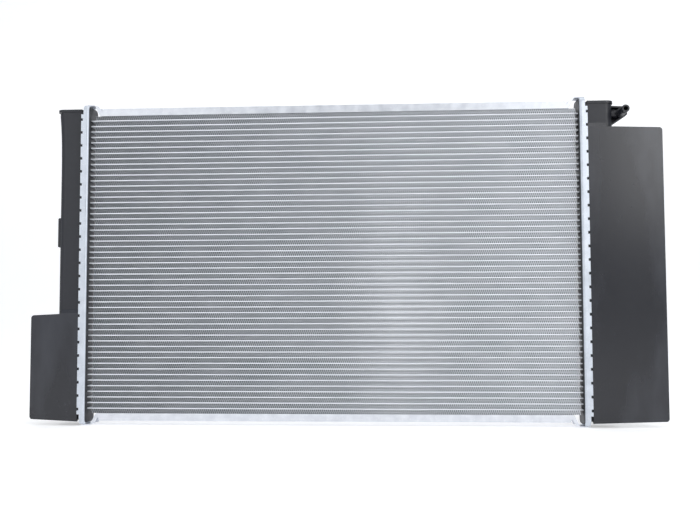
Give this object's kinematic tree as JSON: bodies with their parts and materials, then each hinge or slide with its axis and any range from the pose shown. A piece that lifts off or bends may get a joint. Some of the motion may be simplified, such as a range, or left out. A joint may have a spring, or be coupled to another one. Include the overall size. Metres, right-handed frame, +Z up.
{
  "type": "car radiator",
  "caption": "Cross-flow car radiator with a brazed tube-and-fin core, crimped plastic end tanks with air guide wings, hose necks, a bleed nipple and a drain plug.",
  "frame": {"origin": "under the middle of the whole radiator, on the surface that its lower hooks stand on", "axes": "+X across the core towards the wide wing, +Y through the core towards the engine, +Z up"},
  "size_m": [0.7664, 0.088, 0.3967],
  "materials": {
    "tank_plastic": "satin glass-filled nylon",
    "header_aluminium": "brazed, matt",
    "side_plate_aluminium": "brazed, matt",
    "tube_aluminium": "satin",
    "fin_aluminium": "satin",
    "gasket_rubber": "matt",
    "insert_brass": "turned",
    "drain_plastic": "satin"
  },
  "bodies": {
    "radiator": {"left_tank": "tank_plastic", "right_tank": "tank_plastic", "left_air_guide": "tank_plastic", "right_air_guide": "tank_plastic", "left_header": "header_aluminium", "right_header": "header_aluminium", "left_gasket": "gasket_rubber", "right_gasket": "gasket_rubber", "upper_side_plate": "side_plate_aluminium", "lower_side_plate": "side_plate_aluminium", "tube_bank_1": "tube_aluminium", "tube_bank_2": "tube_aluminium", "tube_bank_3": "tube_aluminium", "tube_bank_4": "tube_aluminium", "tube_bank_5": "tube_aluminium", "tube_bank_6": "tube_aluminium", "tube_bank_7": "tube_aluminium", "tube_bank_8": "tube_aluminium", "tube_bank_9": "tube_aluminium", "fin_bank_1": "fin_aluminium", "fin_bank_2": "fin_aluminium", "fin_bank_3": "fin_aluminium", "fin_bank_4": "fin_aluminium", "fin_bank_5": "fin_aluminium", "fin_bank_6": "fin_aluminium", "fin_bank_7": "fin_aluminium", "fin_bank_8": "fin_aluminium", "fin_bank_9": "fin_aluminium", "shroud_inserts": "insert_brass"},
    "drain_plug": {"drain_plug": "drain_plastic", "drain_o_ring": "gasket_rubber"}
  },
  "joints": [
    {"name": "drain_turn", "type": "hinge", "parent": "radiator", "child": "drain_plug", "pos_m": [0.31075, 0.012, 0.03035], "axis": [0, 1, 0], "range_deg": [0, 90]}
  ]
}
